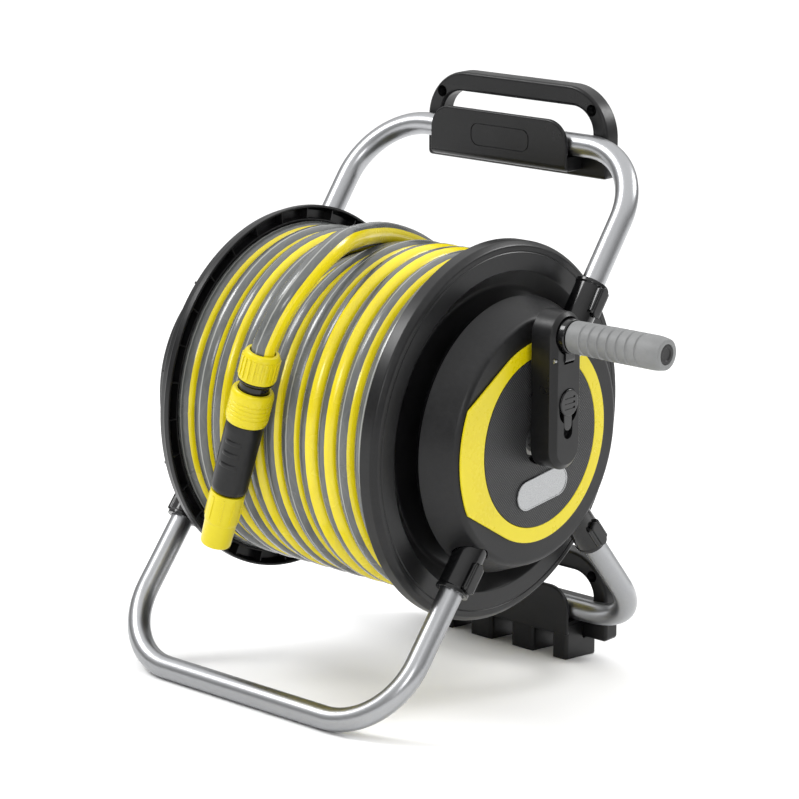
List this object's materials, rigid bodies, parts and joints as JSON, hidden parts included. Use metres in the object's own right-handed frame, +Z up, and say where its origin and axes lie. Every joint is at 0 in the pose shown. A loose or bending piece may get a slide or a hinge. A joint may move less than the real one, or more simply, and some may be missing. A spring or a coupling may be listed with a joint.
{
  "type": "garden hose reel cart",
  "caption": "Freestanding garden hose reel: a crank-driven drum of wound hose between bent tube feet, with carrying handle, wall bracket, click connector and nozzle.",
  "frame": {"origin": "on the floor, under the middle of the bounding box of the reel without its hose and what is on the hose", "axes": "+Z up, +X along the drum axis towards the crank, -Y towards the front of the reel, where the hose end hangs"},
  "size_m": [0.4976, 0.4148, 0.5184],
  "materials": {
    "aluminium_tube": "bent and polished tube, satin",
    "hub_gloss": "glossy black moulding",
    "matte_black": "fine matte black moulding",
    "textured_black": "black moulding with a fine pattern of raised dots",
    "yellow_plastic": "semi-gloss yellow moulding",
    "grip_grey": "matte grey moulding",
    "hose_wall": "flexible grey hose with a yellow stripe",
    "badge_silver": "blank satin silver plate",
    "acetal_white": "off-white acetal",
    "seal_rubber": "black rubber",
    "steel": "zinc-plated steel"
  },
  "bodies": {
    "frame": {"front_foot_tube": "aluminium_tube", "rear_foot_tube": "aluminium_tube", "top_tube": "aluminium_tube", "right_hub_frame": "hub_gloss", "left_hub_frame": "hub_gloss", "right_hub_cover": "matte_black", "left_hub_cover": "matte_black", "yellow_face_ring": "yellow_plastic", "patterned_face_disc": "textured_black", "blank_badge": "badge_silver", "right_bearing_bush": "acetal_white", "left_bearing_bush": "acetal_white", "axle_seal": "seal_rubber", "handle_loop": "matte_black", "handle_clip": "matte_black", "handle_left_screw": "steel", "handle_right_screw": "steel", "wall_bracket_loop": "matte_black", "wall_bracket_clip": "matte_black", "wall_bracket_left_screw": "steel", "wall_bracket_right_screw": "steel"},
    "drum": {"drum_core": "matte_black", "left_flange": "matte_black", "right_flange": "matte_black", "crank_shaft": "steel", "crank_arm": "matte_black", "grip_hinge_pin": "steel", "water_axle": "hub_gloss", "hose_tail": "acetal_white", "hose_clamp": "steel", "hose_coil": "hose_wall", "hose_free_end": "hose_wall", "hose_nut": "yellow_plastic", "connector_body": "hub_gloss", "nozzle_body": "matte_black"},
    "sleeve": {"connector_sleeve": "yellow_plastic"},
    "tip": {"nozzle_tip": "yellow_plastic"},
    "lock_button": {"crank_lock_button": "hub_gloss"},
    "spindle": {"grip_spindle": "hub_gloss"},
    "grip": {"hand_grip": "grip_grey", "grip_end_cap": "matte_black"},
    "inlet": {"inlet_elbow": "hub_gloss", "inlet_plug": "yellow_plastic"},
    "left_top_latch": {"left_top_latch": "hub_gloss"},
    "left_front_latch": {"left_front_latch": "hub_gloss"},
    "left_rear_latch": {"left_rear_latch": "hub_gloss"},
    "right_top_latch": {"right_top_latch": "hub_gloss"},
    "right_front_latch": {"right_front_latch": "hub_gloss"},
    "right_rear_latch": {"right_rear_latch": "hub_gloss"}
  },
  "joints": [
    {"name": "drum_spin", "type": "hinge", "parent": "frame", "child": "drum", "pos_m": [-0.04725, -0.03386, 0.2381], "axis": [1, 0, 0], "continuous": true},
    {"name": "inlet_swivel", "type": "hinge", "parent": "frame", "child": "inlet", "pos_m": [-0.23625, -0.03386, 0.2381], "axis": [1, 0, 0], "continuous": true},
    {"name": "grip_fold", "type": "hinge", "parent": "drum", "child": "spindle", "pos_m": [0.14925, -0.04165, 0.31219], "axis": [0, 0.9945, 0.1045], "range_deg": [0, 90]},
    {"name": "grip_spin", "type": "hinge", "parent": "spindle", "child": "grip", "pos_m": [0.19775, -0.04358, 0.33059], "axis": [1, 0, 0], "continuous": true},
    {"name": "crank_lock_slide", "type": "slide", "parent": "drum", "child": "lock_button", "axis": [0, 0.1045, -0.9945], "range_m": [0, 0.006], "stiffness_N_per_m": 250, "springref_m": -0.002},
    {"name": "sleeve_slide", "type": "slide", "parent": "drum", "child": "sleeve", "axis": [0.2886, -0.0648, 0.9553], "range_m": [0, 0.005], "stiffness_N_per_m": 600, "springref_m": -0.002},
    {"name": "nozzle_twist", "type": "hinge", "parent": "drum", "child": "tip", "pos_m": [-0.07853, -0.19262, 0.15754], "axis": [-0.2886, 0.0648, -0.9553], "range_deg": [0, 270]},
    {"name": "left_top_latch_press", "type": "slide", "parent": "frame", "child": "left_top_latch", "axis": [1, 0, 0], "range_m": [0, 0.0012], "stiffness_N_per_m": 1500, "springref_m": -0.0004},
    {"name": "left_front_latch_press", "type": "slide", "parent": "frame", "child": "left_front_latch", "axis": [1, 0, 0], "range_m": [0, 0.0012], "stiffness_N_per_m": 1500, "springref_m": -0.0004},
    {"name": "left_rear_latch_press", "type": "slide", "parent": "frame", "child": "left_rear_latch", "axis": [1, 0, 0], "range_m": [0, 0.0012], "stiffness_N_per_m": 1500, "springref_m": -0.0004},
    {"name": "right_top_latch_press", "type": "slide", "parent": "frame", "child": "right_top_latch", "axis": [-1, 0, 0], "range_m": [0, 0.0012], "stiffness_N_per_m": 1500, "springref_m": -0.0004},
    {"name": "right_front_latch_press", "type": "slide", "parent": "frame", "child": "right_front_latch", "axis": [-1, 0, 0], "range_m": [0, 0.0012], "stiffness_N_per_m": 1500, "springref_m": -0.0004},
    {"name": "right_rear_latch_press", "type": "slide", "parent": "frame", "child": "right_rear_latch", "axis": [-1, 0, 0], "range_m": [0, 0.0012], "stiffness_N_per_m": 1500, "springref_m": -0.0004}
  ]
}
